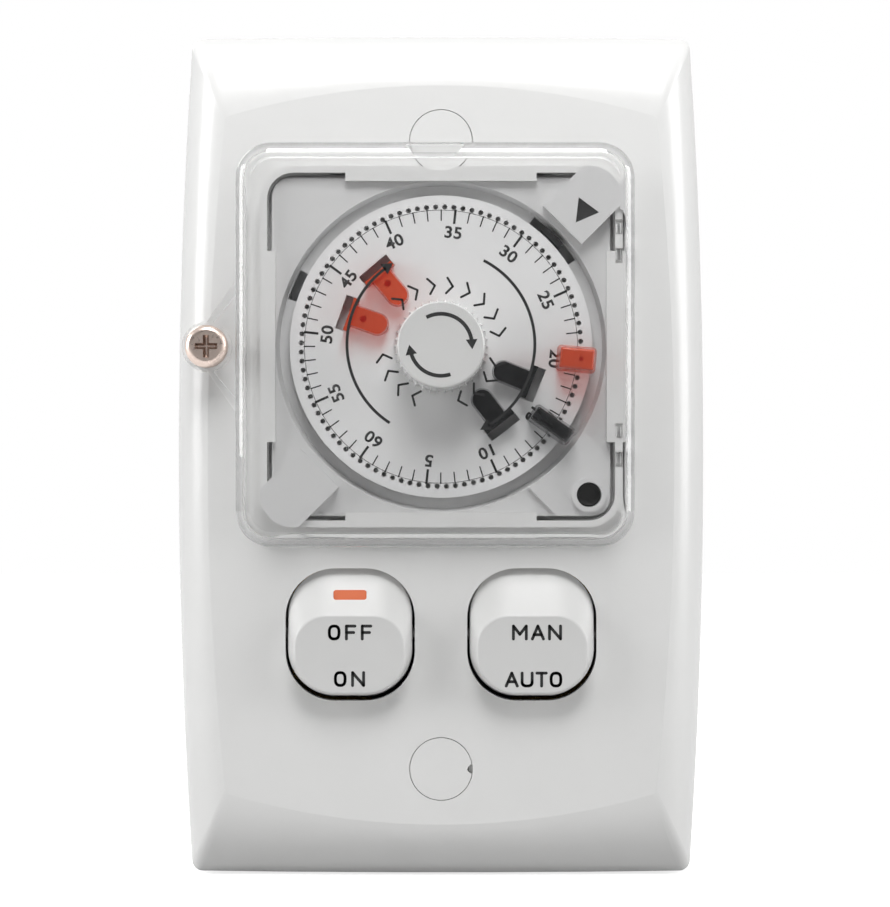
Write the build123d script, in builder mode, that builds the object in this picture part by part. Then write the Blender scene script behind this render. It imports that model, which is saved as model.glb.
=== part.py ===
# Timer light switch: a wall plate with a plug-in dial timer under a hinged clear cover and two rocker switches.
# X points right and Z up. The wall is the plane Y = 0, and the front faces -Y.
# A height below is a distance in front of the wall, so a negative one lies inside the wall.
import math
import os
from build123d import *

os.makedirs("parts", exist_ok=True)

# Driving dimensions, in millimetres and degrees
plate_depth = 9.0
plate_wall = 2.2
module_width = 45.0
case_depth = 30.0
plug_holes = 96
cover_front = 23.0
cover_wall = 1.4
rocker_width = 16.6
rocker_height = 17.0
rocker_swing = 12.0

# Fits and overruns
running_gap = 0.05
seat_gap = 0.05
free_gap = 0.3
overrun = 1.0

# Layout across the plate: the cover closes round the timer's frame, and its screw stands beside it
frame_gap = 0.6
frame_wall = 0.9
cover_end_room = 1.3
cover_screw_room = 1.7
cover_hinge_room = 0.2
screw_reach = 4.0
hinge_inset = 1.2
plate_margin = 2.5
aperture_half = module_width / 2 + frame_gap
frame_half = aperture_half + frame_wall
cover_left = -(frame_half + cover_screw_room + cover_wall)
cover_right = frame_half + cover_hinge_room + cover_wall
cover_width = cover_right - cover_left
cover_height = 2 * (frame_half + cover_end_room + cover_wall)
screw_x = cover_left - screw_reach
axis_x = cover_right - hinge_inset
plate_end_width = 2 * (plate_margin - screw_x)

# Layout down the plate: screw boss, timer, rockers, screw boss, which puts the bosses 84 mm apart
screw_head_r = 3.7
boss_wall = 1.0
boss_space = 0.8
rocker_slot = 0.35
rocker_space = 2.85
body_end = 4.0
plate_end = 14.25
body_height = rocker_height + 2 * body_end
boss_to_timer = aperture_half + screw_head_r + boss_space
timer_to_rocker = cover_height / 2 + rocker_space + rocker_slot + rocker_height / 2
rocker_to_boss = body_height / 2 + screw_head_r + boss_wall + boss_space
fixing_pitch = boss_to_timer + timer_to_rocker + rocker_to_boss
plate_height = fixing_pitch + 2 * plate_end
timer_z = fixing_pitch / 2 - boss_to_timer
rocker_z = rocker_to_boss - fixing_pitch / 2


def front(height):
    """The plane parallel to the wall at this height, facing the viewer."""
    return Plane.XZ.offset(height)


def dial_plane(height):
    """The same plane with its origin on the dial's axis."""
    return Plane(origin=(0, -height, timer_z), x_dir=(1, 0, 0), z_dir=(0, -1, 0))


def spoke(clock_deg, height):
    """A plane on the dial's axis whose local Y points outwards at this clock angle."""
    turn = math.radians(clock_deg)
    x_dir = (math.cos(turn), 0, -math.sin(turn))
    return Plane(origin=(0, -height, timer_z), x_dir=x_dir, z_dir=(0, -1, 0))


def on_dial(clock_deg, radius):
    """X and Z, from the dial's axis, of a point at this clock angle."""
    turn = math.radians(clock_deg)
    return radius * math.sin(turn), radius * math.cos(turn)


# Wall plate: outline with bowed sides, sloping borders that meet in mitres, hollow behind
side_bow = 1.9
end_bow = 0.25
outline_corner_r = 1.5
face_side_inset = 4.8
face_end_inset = 11.0
face_side_bow = 2.4
face_end_bow = 4.2
face_corner_r = 0.8
lip_height = 3.2
border_shares = ((0.0, 0.0), (0.18, 0.42), (0.5, 0.78), (1.0, 1.0))


def plate_outline(inset_share, skin):
    """The plate's outline between its rim (share 0) and its flat face (share 1), drawn in by a skin."""
    half_w = plate_end_width / 2 - inset_share * face_side_inset - skin
    half_h = plate_height / 2 - inset_share * face_end_inset - skin
    bow_w = side_bow + inset_share * (face_side_bow - side_bow)
    bow_h = end_bow + inset_share * (face_end_bow - end_bow)
    with BuildSketch() as outline:
        with BuildLine():
            ThreePointArc((half_w, -half_h), (half_w + bow_w, 0), (half_w, half_h))
            ThreePointArc((half_w, half_h), (0, half_h + bow_h), (-half_w, half_h))
            ThreePointArc((-half_w, half_h), (-half_w - bow_w, 0), (-half_w, -half_h))
            ThreePointArc((-half_w, -half_h), (0, -half_h - bow_h), (half_w, -half_h))
        make_face()
        fillet(outline.vertices(), outline_corner_r + inset_share * (face_corner_r - outline_corner_r))
    return outline.sketch_local


aperture_corner_r = 3.5
frame_top = 12.0
skirt_foot = 1.0
tab_length = 25.4
tab_reach = 1.1
tab_thickness = 0.95
module_face = frame_top - tab_thickness - seat_gap
flange_thickness = 3.0
catch_length = 8.0
catch_height = 0.9
catch_reach = 1.15
catch_pitch = 22.0
fixing_hole_r = 2.1
screw_seat = 2.0
cap_r = 4.15
cap_thickness = 1.0
cap_groove = 0.1
rocker_corner_r = 6.3
body_gap = 2.3
body_side = 0.6
pivot_overhang = 2.1
pivot_reach = rocker_width / 2 + pivot_overhang
body_width = 2 * (pivot_reach + body_side)
rocker_pitch = body_width + body_gap
axis_rise = 1.35
axis_height = plate_depth + axis_rise
hinge_r = 1.1
hinge_pin_r = 0.6
lug_length = 1.8
knuckle_length = 1.4
upper_hinge, lower_hinge = 14.0, -13.1
hinge_places = (upper_hinge, lower_hinge)
post_r = 3.0
insert_r = 2.2
insert_length = 4.4
knuckle_room = knuckle_length + 2 * free_gap

with BuildPart() as wall_plate:
    with BuildSketch(front(0)):
        add(plate_outline(border_shares[0][0], 0))
    extrude(amount=lip_height)
    for inset_share, height_share in border_shares:
        with BuildSketch(front(lip_height + height_share * (plate_depth - lip_height))):
            add(plate_outline(inset_share, 0))
    loft()
    with BuildSketch(front(0)):
        add(plate_outline(border_shares[0][0], plate_wall))
    extrude(amount=lip_height - plate_wall / 2, mode=Mode.SUBTRACT)
    with BuildSketch(front(lip_height - plate_wall / 2)):
        add(plate_outline(border_shares[0][0], plate_wall))
    with BuildSketch(front(plate_depth - plate_wall)):
        add(plate_outline(border_shares[-1][0], plate_wall / 2))
    loft(ruled=True, mode=Mode.SUBTRACT)
    # Raised frame and skirt of the timer's aperture
    with BuildSketch(dial_plane(skirt_foot)):
        RectangleRounded(
            2 * frame_half, 2 * frame_half, aperture_corner_r + frame_wall,
        )
    extrude(amount=frame_top - skirt_foot)
    # Post for the cover's screw, and bosses for the two fixing screws
    with BuildSketch(front(lip_height)):
        with Locations((screw_x, timer_z)):
            Circle(post_r)
    extrude(amount=plate_depth - lip_height)
    with BuildSketch(front(0)):
        with GridLocations(0, fixing_pitch, 1, 2):
            Circle(screw_head_r + boss_wall)
    extrude(amount=plate_depth - plate_wall / 2)
    with BuildSketch(dial_plane(0)):
        RectangleRounded(2 * aperture_half, 2 * aperture_half, aperture_corner_r)
    extrude(amount=frame_top + overrun, mode=Mode.SUBTRACT)
    # Tabs that hold the module's front edge, and catches behind its flange
    with BuildSketch(dial_plane(frame_top - tab_thickness)):
        with PolarLocations(aperture_half - tab_reach / 2, 4):
            Rectangle(tab_reach, tab_length)
    extrude(amount=tab_thickness)
    with BuildSketch(dial_plane(module_face - flange_thickness - seat_gap - catch_height)):
        with Locations((0, aperture_half - catch_reach / 2), (0, -aperture_half + catch_reach / 2)):
            with GridLocations(catch_pitch, 0, 2, 1):
                Rectangle(catch_length, catch_reach)
    extrude(amount=catch_height)
    # Holes: fixing screws with their head recess, caps, cover insert, rockers
    with BuildSketch(front(0)):
        with GridLocations(0, fixing_pitch, 1, 2):
            Circle(fixing_hole_r)
    extrude(amount=plate_depth, mode=Mode.SUBTRACT)
    with BuildSketch(front(screw_seat)):
        with GridLocations(0, fixing_pitch, 1, 2):
            Circle(screw_head_r)
    extrude(amount=plate_depth, mode=Mode.SUBTRACT)
    with BuildSketch(front(plate_depth - cap_thickness)):
        with GridLocations(0, fixing_pitch, 1, 2):
            Circle(cap_r + cap_groove)
    extrude(amount=frame_top, mode=Mode.SUBTRACT)
    with BuildSketch(front(plate_depth)):
        with Locations((screw_x, timer_z)):
            Circle(insert_r)
    extrude(amount=-insert_length, mode=Mode.SUBTRACT)
    with BuildSketch(front(lip_height)):
        with Locations((0, rocker_z)):
            with GridLocations(rocker_pitch, 0, 2, 1):
                RectangleRounded(
                    rocker_width + 2 * rocker_slot, rocker_height + 2 * rocker_slot,
                    rocker_corner_r + rocker_slot,
                )
    extrude(amount=plate_depth, mode=Mode.SUBTRACT)
    # Room for the cover's knuckles, then the hinge lugs with their pin holes
    for place in hinge_places:
        with BuildSketch(dial_plane(plate_depth)):
            with Locations((axis_x, place)):
                with Locations((0, (lug_length + knuckle_room) / 2), (0, -(lug_length + knuckle_room) / 2)):
                    Rectangle(2 * (hinge_r + free_gap / 2), knuckle_room)
        extrude(amount=frame_top, mode=Mode.SUBTRACT)
        with BuildSketch(Plane.XY.offset(timer_z + place - lug_length / 2)):
            with Locations((axis_x, -axis_height)):
                Circle(hinge_r)
            with Locations((axis_x, -(axis_height + plate_depth) / 2)):
                Rectangle(2 * hinge_r, axis_height - plate_depth)
        extrude(amount=lug_length)
        with BuildSketch(Plane.XY.offset(timer_z + place - lug_length / 2)):
            with Locations((axis_x, -axis_height)):
                Circle(hinge_pin_r)
        extrude(amount=lug_length, mode=Mode.SUBTRACT)
wall_plate.part.label = "wall_plate"
export_step(wall_plate.part, "parts/wall_plate.step")

# Screw caps: a disc nearly flush with the plate on a split skirt in the screw recess
cap_skirt_wall = 0.7
cap_skirt_length = 3.0
cap_nick_r = 0.6

for cap_name, side in (("screw_cap_top", 1), ("screw_cap_bottom", -1)):
    with BuildPart() as screw_cap:
        with BuildSketch(front(plate_depth - cap_thickness)):
            with Locations((0, side * fixing_pitch / 2)):
                Circle(cap_r)
            if side < 0:
                with Locations((cap_r, side * fixing_pitch / 2)):
                    Circle(cap_nick_r, mode=Mode.SUBTRACT)
        extrude(amount=cap_thickness)
        with BuildSketch(front(plate_depth - cap_thickness)):
            with Locations((0, side * fixing_pitch / 2)):
                Circle(screw_head_r - running_gap)
                Circle(screw_head_r - running_gap - cap_skirt_wall, mode=Mode.SUBTRACT)
                Rectangle(2 * screw_head_r, cap_skirt_wall, mode=Mode.SUBTRACT)
        extrude(amount=-cap_skirt_length)
    screw_cap.part.label = cap_name
    export_step(screw_cap.part, f"parts/{cap_name}.step")

# Front moulding of the timer: a flange with a closing collar, and the round recess that the dial turns in
flange_corner_r = 2.5
collar_gap = 0.1
collar_thickness = 1.0
collar_half = aperture_half - collar_gap
recess_land = 0.5
recess_taper = 0.5
recess_depth = 1.6
dial_room = 1.9
recess_r = module_width / 2 - recess_land
recess_floor_r = recess_r - recess_taper
dial_r = recess_r - dial_room
shaft_r = 2.0
hub_wall = 1.6
hub_length = 1.0
window_start, window_end = 35.6, 57.0
slit_start, slit_end = 287.5, 298.8
window_inset = 0.1
window_depth = 2.0
window_outer_r = recess_floor_r - window_inset
window_inner_r = window_outer_r - window_depth
land_clock = 135.0
land_half = 5.0
land_height = 0.6
land_hole_r = 1.65
land_hole_depth = 2.2
land_ring_r = 2.3
land_inset = 3.4
corner_reach = math.sqrt(2) * (aperture_half - aperture_corner_r) + aperture_corner_r
land_place_r = corner_reach - land_inset
recess_floor = module_face - recess_depth


def ring_sector(start_deg, end_deg, inner_r, outer_r):
    """A stretch of a ring round the dial's axis, between two clock angles."""
    middle = (start_deg + end_deg) / 2
    with BuildSketch() as sector:
        with BuildLine():
            CenterArc((0, 0), outer_r, 90 - end_deg, end_deg - start_deg)
            CenterArc((0, 0), inner_r, 90 - end_deg, end_deg - start_deg)
            Line(on_dial(start_deg, inner_r), on_dial(start_deg, outer_r))
            Line(on_dial(end_deg, inner_r), on_dial(end_deg, outer_r))
        make_face()
    return sector.sketch_local


with BuildPart() as timer_front:
    with BuildSketch(dial_plane(module_face - flange_thickness)):
        RectangleRounded(module_width, module_width, flange_corner_r)
    extrude(amount=flange_thickness)
    with BuildSketch(dial_plane(module_face - flange_thickness)):
        RectangleRounded(2 * collar_half, 2 * collar_half, aperture_corner_r - collar_gap)
    extrude(amount=collar_thickness)
    with BuildSketch(dial_plane(module_face - flange_thickness)):
        Circle(shaft_r + running_gap + hub_wall)
    extrude(amount=-hub_length)
    with BuildSketch(dial_plane(recess_floor)):
        Circle(recess_floor_r)
    with BuildSketch(dial_plane(module_face)):
        Circle(recess_r)
    loft(mode=Mode.SUBTRACT)
    with BuildSketch(dial_plane(recess_floor)):
        Circle(shaft_r + running_gap)
        add(ring_sector(window_start, window_end, window_inner_r, window_outer_r))
        add(ring_sector(slit_start, slit_end, window_inner_r, window_outer_r))
    extrude(amount=-flange_thickness - hub_length, mode=Mode.SUBTRACT)
    # Raised land in the lower right corner, with the ringed blind hole
    with BuildSketch(dial_plane(module_face)) as land:
        RectangleRounded(module_width, module_width, flange_corner_r)
        Circle(recess_r, mode=Mode.SUBTRACT)
        with Locations(Location((module_width / 2, -module_width / 2, 0), (0, 0, 45))):
            Rectangle(2 * land_half, module_width, mode=Mode.INTERSECT)
        with Locations((aperture_half - tab_reach, 0), (0, -(aperture_half - tab_reach))):
            Rectangle(2 * tab_reach, tab_length + 2 * tab_reach, mode=Mode.SUBTRACT)
    extrude(amount=land_height)
    with BuildSketch(spoke(land_clock, module_face)):
        with Locations((0, land_place_r)):
            Circle(land_ring_r)
    extrude(amount=2 * land_height)
    with BuildSketch(spoke(land_clock, module_face + 2 * land_height)):
        with Locations((0, land_place_r)):
            Circle(land_hole_r)
    extrude(amount=-land_hole_depth - 2 * land_height, mode=Mode.SUBTRACT)
timer_front.part.label = "timer_front"
export_step(timer_front.part, "parts/timer_front.step")

# Corner clamps: one carries the pointer mark, the other is plain
clamp_width = 7.2
clamp_space = 0.8
clamp_height = 1.6
pointer_clock = 45.0
blank_clock = 225.0
clamp_inner_r = recess_r + clamp_space
clamp_step_r = corner_reach - free_gap
clamp_outer_r = corner_reach + frame_wall + overrun

for clamp_name, clock_deg in (("pointer_clamp", pointer_clock), ("blank_clamp", blank_clock)):
    with BuildPart() as clamp:
        with BuildSketch(spoke(clock_deg, module_face + seat_gap)):
            with Locations((0, (clamp_inner_r + clamp_step_r) / 2)):
                Rectangle(clamp_width, clamp_step_r - clamp_inner_r)
            with Locations(Location((0, 0, 0), (0, 0, 45))):
                RectangleRounded(
                    2 * (aperture_half - seat_gap), 2 * (aperture_half - seat_gap), aperture_corner_r,
                    mode=Mode.INTERSECT,
                )
        extrude(amount=clamp_height)
        with BuildSketch(spoke(clock_deg, frame_top + seat_gap)):
            with Locations((0, (clamp_inner_r + clamp_outer_r) / 2)):
                Rectangle(clamp_width, clamp_outer_r - clamp_inner_r)
            with Locations(Location((0, 0, 0), (0, 0, 45))):
                RectangleRounded(
                    2 * frame_half, 2 * frame_half, aperture_corner_r + frame_wall, mode=Mode.INTERSECT
                )
        extrude(amount=clamp_height + module_face - frame_top)
    clamp.part.label = clamp_name
    export_step(clamp.part, f"parts/{clamp_name}.step")

# Dial: a disc with a ring of plug holes near its rim, four storage slots and a hub on its back
disc_proud = 0.6
disc_thickness = 1.6
plug_ring_inset = 1.53
plug_hole_r = 0.35
plug_hole_sides = 8
plug_phase = 5.3
slot_width = 4.7
slot_span = 1.9
slot_inset = 4.47
slot_angles = (111.9, 142.2, 289.4, 319.7)
plug_ring_r = dial_r - plug_ring_inset
slot_outer_r = plug_ring_r - slot_inset
slot_inner_r = slot_outer_r - slot_span
dial_hub_r = 3.2
disc_face = module_face + disc_proud
disc_back = disc_face - disc_thickness

with BuildPart() as dial_disc:
    with BuildSketch(dial_plane(disc_back)):
        Circle(dial_r)
        with PolarLocations(plug_ring_r, plug_holes, start_angle=90 - plug_phase):
            RegularPolygon(radius=plug_hole_r, side_count=plug_hole_sides, mode=Mode.SUBTRACT)
    extrude(amount=disc_thickness)
    with BuildSketch(dial_plane(disc_back)):
        Circle(dial_hub_r)
    extrude(amount=-(disc_back - recess_floor - seat_gap))
    for clock_deg in slot_angles:
        with BuildSketch(spoke(clock_deg, disc_back)):
            with Locations((0, (slot_inner_r + slot_outer_r) / 2)):
                Rectangle(slot_width, slot_outer_r - slot_inner_r)
        extrude(amount=disc_thickness, mode=Mode.SUBTRACT)
    with BuildSketch(dial_plane(recess_floor)):
        Circle(shaft_r)
    extrude(amount=2 * disc_thickness, mode=Mode.SUBTRACT)
dial_disc.part.label = "dial_disc"
export_step(dial_disc.part, "parts/dial_disc.step")

# Knob: fluted, with a flat top ring and a shallow dish, pressed on the shaft
spare_length = 4.8
knob_space = 1.1
spare_inner_r = slot_inner_r - spare_length
knob_r = spare_inner_r - knob_space
knob_flutes = 38
flute_depth = 0.35
knob_height = 8.2
knob_rim = 0.8
knob_draft = 2.0
knob_bore_depth = 6.0
knob_top = disc_face + knob_height

with BuildPart() as dial_knob:
    with BuildSketch(dial_plane(disc_face)):
        Circle(knob_r - flute_depth)
        with PolarLocations(knob_r - 2 * flute_depth, knob_flutes):
            RegularPolygon(radius=2 * flute_depth, side_count=3)
    extrude(amount=knob_height, taper=knob_draft)
    with BuildSketch(dial_plane(disc_face)):
        Circle(shaft_r)
    extrude(amount=knob_bore_depth, mode=Mode.SUBTRACT)
    # Bevel all round the top, through the flutes
    with BuildSketch(Plane.XY.offset(timer_z)):
        with BuildLine():
            Polyline(
                (knob_r - knob_rim, -knob_top), (knob_r + knob_rim, -knob_top),
                (knob_r + knob_rim, -knob_top + 2 * knob_rim), close=True,
            )
        make_face()
    revolve(axis=Axis((0, 0, timer_z), (0, 1, 0)), mode=Mode.SUBTRACT)
dial_knob.part.label = "dial_knob"
export_step(dial_knob.part, "parts/dial_knob.step")

# Gear train behind the front moulding: the dial's gear is driven by the pinion on the motor
gear_teeth = 72
pinion_teeth = 12
gear_margin = 5.2
pressure_angle = 20.0
backlash = 0.12
addendum_share = 0.9
root_share = 1.2
gear_face = module_face - flange_thickness - hub_length - free_gap
gear_thickness = 1.6
gear_hub_r = 3.6
gear_hub_length = 1.2
web_hole_r = 2.6
web_holes = 6
tail_r = 1.2
plate_gap = 0.4
motor_plate_thickness = 1.2
pinion_shaft_r = 0.8
pinion_overhang = 0.5
gear_distance = recess_r - gear_margin
gear_module = 2 * gear_distance / (gear_teeth + pinion_teeth)
gear_tip_r = (gear_teeth / 2 + addendum_share) * gear_module
pinion_place = (0, -gear_distance)
gear_back = gear_face - gear_thickness
plate_face = gear_back - gear_hub_length - plate_gap
plate_back = plate_face - motor_plate_thickness


def flank_point(base_r, radius, half_angle, side):
    """A point of a tooth's involute flank at this radius, in degrees from the tooth's middle."""
    roll = math.sqrt(max((radius / base_r) ** 2 - 1, 0))
    turn = half_angle - (roll - math.atan(roll))
    return radius * math.cos(turn), side * radius * math.sin(turn)


def gear_outline(teeth):
    """Spur gear with involute teeth, the first one on local X."""
    pitch_r = teeth * gear_module / 2
    base_r = pitch_r * math.cos(math.radians(pressure_angle))
    tip_r = pitch_r + addendum_share * gear_module
    root_r = pitch_r - root_share * gear_module
    pitch_roll = math.tan(math.radians(pressure_angle)) - math.radians(pressure_angle)
    half_angle = (math.pi * gear_module / 2 - backlash / 2) / (2 * pitch_r) + pitch_roll
    low_r = max(base_r, root_r)
    radii = (low_r, (low_r + tip_r) / 2, tip_r)
    flanks = [[flank_point(base_r, r, half_angle, side) for r in radii] for side in (-1, 1)]
    foot = [(root_r * math.cos(half_angle), side * root_r * math.sin(half_angle)) for side in (-1, 1)]
    with BuildSketch() as outline:
        Circle(root_r)
        with BuildSketch(mode=Mode.PRIVATE) as tooth:
            with BuildLine():
                Polyline((0, 0), foot[0], flanks[0][0])
                Spline(flanks[0])
                Line(flanks[0][-1], flanks[1][-1])
                Spline(flanks[1])
                Polyline(flanks[1][0], foot[1], (0, 0))
            make_face()
        with PolarLocations(0, teeth):
            add(tooth.sketch_local)
    return outline.sketch_local


with BuildPart() as dial_gear:
    with BuildSketch(dial_plane(gear_back)):
        add(gear_outline(gear_teeth))
        with PolarLocations((gear_hub_r + gear_teeth * gear_module / 2) / 2, web_holes):
            Circle(web_hole_r, mode=Mode.SUBTRACT)
    extrude(amount=gear_thickness)
    with BuildSketch(dial_plane(gear_back)):
        Circle(gear_hub_r)
    extrude(amount=-gear_hub_length)
    with BuildSketch(dial_plane(gear_face)):
        Circle(shaft_r)
    extrude(amount=-2 * gear_thickness, mode=Mode.SUBTRACT)
dial_gear.part.label = "dial_gear"
export_step(dial_gear.part, "parts/dial_gear.step")

with BuildPart() as dial_shaft:
    with BuildSketch(dial_plane(gear_back - gear_hub_length)):
        Circle(shaft_r)
    extrude(amount=disc_face + knob_bore_depth - gear_back + gear_hub_length)
    with BuildSketch(dial_plane(gear_back - gear_hub_length)):
        Circle(tail_r)
    extrude(amount=-plate_gap - motor_plate_thickness)
dial_shaft.part.label = "dial_shaft"
export_step(dial_shaft.part, "parts/dial_shaft.step")

with BuildPart() as motor_pinion:
    with BuildSketch(dial_plane(gear_back - pinion_overhang)):
        with Locations(Location((*pinion_place, 0), (0, 0, 180 / pinion_teeth))):
            add(gear_outline(pinion_teeth))
    extrude(amount=gear_thickness + 2 * pinion_overhang)
    with BuildSketch(dial_plane(gear_back - pinion_overhang)):
        with Locations(pinion_place):
            Circle(pinion_shaft_r)
    extrude(amount=-(gear_back - pinion_overhang - plate_back) - pinion_overhang)
motor_pinion.part.label = "motor_pinion"
export_step(motor_pinion.part, "parts/motor_pinion.step")

# Rear housing of the timer with slots for its blade terminals
case_inset = 0.7
case_half = module_width / 2 - case_inset
case_wall = 1.5
case_corner_r = 2.0
case_face = module_face - flange_thickness - seat_gap
case_back = case_face - case_depth
blade_width = 6.3
blade_thickness = 0.8
blade_length = 8.0
blade_root = 2.5
blade_shoulder = 1.2
blade_columns = 9.0
blade_rows = 18.0

with BuildPart() as timer_case:
    with BuildSketch(dial_plane(case_back)):
        RectangleRounded(2 * case_half, 2 * case_half, case_corner_r)
    extrude(amount=case_depth)
    with BuildSketch(dial_plane(case_back + case_wall)):
        RectangleRounded(2 * (case_half - case_wall), 2 * (case_half - case_wall), case_corner_r / 2)
    extrude(amount=case_depth, mode=Mode.SUBTRACT)
    with BuildSketch(dial_plane(case_back)):
        with GridLocations(blade_rows, blade_columns, 2, 2):
            Rectangle(blade_thickness + 2 * seat_gap, blade_width + 2 * seat_gap)
    extrude(amount=case_wall, mode=Mode.SUBTRACT)
timer_case.part.label = "timer_case"
export_step(timer_case.part, "parts/timer_case.step")

with BuildPart() as timer_terminals:
    with BuildSketch(dial_plane(case_back + case_wall)):
        with GridLocations(blade_rows, blade_columns, 2, 2):
            Rectangle(blade_thickness, blade_width)
    extrude(amount=-case_wall - blade_length)
    chamfer(timer_terminals.faces().group_by(Axis.Y)[-1].edges(), blade_thickness / 4)
    with BuildSketch(dial_plane(case_back + case_wall)):
        with GridLocations(blade_rows, blade_columns, 2, 2):
            Rectangle(blade_thickness, blade_width + blade_shoulder)
    extrude(amount=blade_root)
timer_terminals.part.label = "timer_terminals"
export_step(timer_terminals.part, "parts/timer_terminals.step")

# Motor and the plate that carries it and the rear ends of the shafts
motor_depth = 12.0
motor_margin = 5.25
motor_drop = 3.2
motor_rim = 1.2
motor_plate_half = case_half - case_wall - seat_gap
motor_r = motor_plate_half - motor_margin
motor_place = (0, -motor_drop)
lever_clock = 46.0
lever_inset = 4.8
lever_pin_r = 0.9
lever_place_r = recess_r - lever_inset

with BuildPart() as motor_plate:
    with BuildSketch(dial_plane(plate_back)):
        RectangleRounded(2 * motor_plate_half, 2 * motor_plate_half, case_corner_r / 2)
        Circle(tail_r + running_gap, mode=Mode.SUBTRACT)
        with Locations(pinion_place):
            Circle(pinion_shaft_r + running_gap, mode=Mode.SUBTRACT)
        with Locations(on_dial(lever_clock, lever_place_r)):
            Circle(lever_pin_r, mode=Mode.SUBTRACT)
    extrude(amount=motor_plate_thickness)
motor_plate.part.label = "motor_plate"
export_step(motor_plate.part, "parts/motor_plate.step")

with BuildPart() as motor:
    with BuildSketch(dial_plane(plate_back)):
        with Locations(motor_place):
            Circle(motor_r)
    extrude(amount=-motor_depth)
    chamfer(motor.faces().sort_by(Axis.Y)[-1].edges(), motor_rim)
    with BuildSketch(dial_plane(plate_back)):
        with Locations(pinion_place):
            Circle(pinion_shaft_r + running_gap)
        Circle(tail_r + free_gap)
    extrude(amount=-2 * pinion_overhang, mode=Mode.SUBTRACT)
motor.part.label = "motor"
export_step(motor.part, "parts/motor.step")

# Trip lever: its tip stands in the recess window, its tail works the snap switch
lever_hub_r = 1.9
lever_thickness = 2.0
lever_arm_width = 2.4
tip_start, tip_end = 40.5, 50.0
tip_margin = 0.2
tip_width = 0.8
tip_sunk = 0.1
tail_x = 8.4
tail_r_end = 0.75
tip_outer_r = window_outer_r - tip_margin
tip_inner_r = tip_outer_r - tip_width
switch_low = gear_tip_r + free_gap
switch_high = motor_plate_half - free_gap / 2
tail_place = (tail_x, (switch_low + switch_high) / 2)
lever_back = plate_face + free_gap
lever_place = on_dial(lever_clock, lever_place_r)
tail_middle = ((lever_place[0] + tail_place[0]) / 2, (lever_place[1] + tail_place[1]) / 2)
tail_span = math.dist(lever_place, tail_place)
tail_slope = math.degrees(math.atan2(tail_place[1] - lever_place[1], tail_place[0] - lever_place[0]))

with BuildPart() as trip_lever:
    with BuildSketch(dial_plane(lever_back)):
        with Locations(lever_place):
            Circle(lever_hub_r)
        with Locations(tail_place):
            Circle(tail_r_end)
        with Locations(Location((*tail_middle, 0), (0, 0, tail_slope))):
            Rectangle(tail_span, 2 * tail_r_end)
        with Locations(Location((*on_dial(lever_clock, (lever_place_r + tip_inner_r) / 2), 0),
                                (0, 0, -lever_clock))):
            Rectangle(lever_arm_width, tip_inner_r - lever_place_r)
        add(ring_sector(tip_start, tip_end, tip_inner_r, tip_outer_r))
    extrude(amount=lever_thickness)
    with BuildSketch(dial_plane(lever_back)):
        add(ring_sector(tip_start, tip_end, tip_inner_r, tip_outer_r))
    extrude(amount=module_face - tip_sunk - lever_back)
    with BuildSketch(dial_plane(lever_back)):
        with Locations(lever_place):
            Circle(lever_pin_r + running_gap)
    extrude(amount=lever_thickness, mode=Mode.SUBTRACT)
trip_lever.part.label = "trip_lever"
export_step(trip_lever.part, "parts/trip_lever.step")

with BuildPart() as lever_pin:
    with BuildSketch(dial_plane(plate_face - motor_plate_thickness)):
        with Locations(lever_place):
            Circle(lever_pin_r)
    extrude(amount=motor_plate_thickness + free_gap + lever_thickness + free_gap)
lever_pin.part.label = "lever_pin"
export_step(lever_pin.part, "parts/lever_pin.step")

# Snap switch beside the dial's gear, and the button that the lever's tail pushes
switch_length = 12.8
button_height = 1.6
button_length = 2.2
button_travel = 0.7
button_right = tail_x - tail_r_end - seat_gap
switch_right = button_right - button_travel - seat_gap
switch_place = (switch_right - switch_length / 2, tail_place[1])
switch_thickness = case_face - plate_face - 2 * seat_gap

with BuildPart() as timer_switch:
    with BuildSketch(dial_plane(plate_face + seat_gap)):
        with Locations(switch_place):
            Rectangle(switch_length, switch_high - switch_low)
    extrude(amount=switch_thickness)
    with BuildSketch(dial_plane(plate_face + lever_thickness - button_height / 2 - running_gap)):
        with Locations((button_right - button_length / 2 - free_gap / 2, tail_place[1])):
            Rectangle(button_length + free_gap, button_height + 2 * running_gap)
    extrude(amount=button_height + 2 * running_gap, mode=Mode.SUBTRACT)
timer_switch.part.label = "timer_switch"
export_step(timer_switch.part, "parts/timer_switch.step")

with BuildPart() as timer_switch_button:
    with BuildSketch(dial_plane(plate_face + lever_thickness - button_height / 2)):
        with Locations((button_right - button_length / 2, tail_place[1])):
            Rectangle(button_length, button_height)
    extrude(amount=button_height)
timer_switch_button.part.label = "timer_switch_button"
export_step(timer_switch_button.part, "parts/timer_switch_button.step")

# Tappets: two work at the rim, four wait in the storage slots
work_pin_r = 0.28
work_pin_length = 1.3
work_foot_drop = 0.3
tappet_edge = 0.3
on_clock, on_width, on_height = 95.3, 3.5, 3.6
on_inward, on_outward = 3.17, 2.13
tappet_pip_r = 0.3
tappet_pip_depth = 0.5
off_clock, off_width, off_height = 125.3, 2.7, 3.2
off_inward, off_outward = 3.77, 2.63
tappet_base = disc_face + seat_gap
tappet_taper = 7.0

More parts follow.
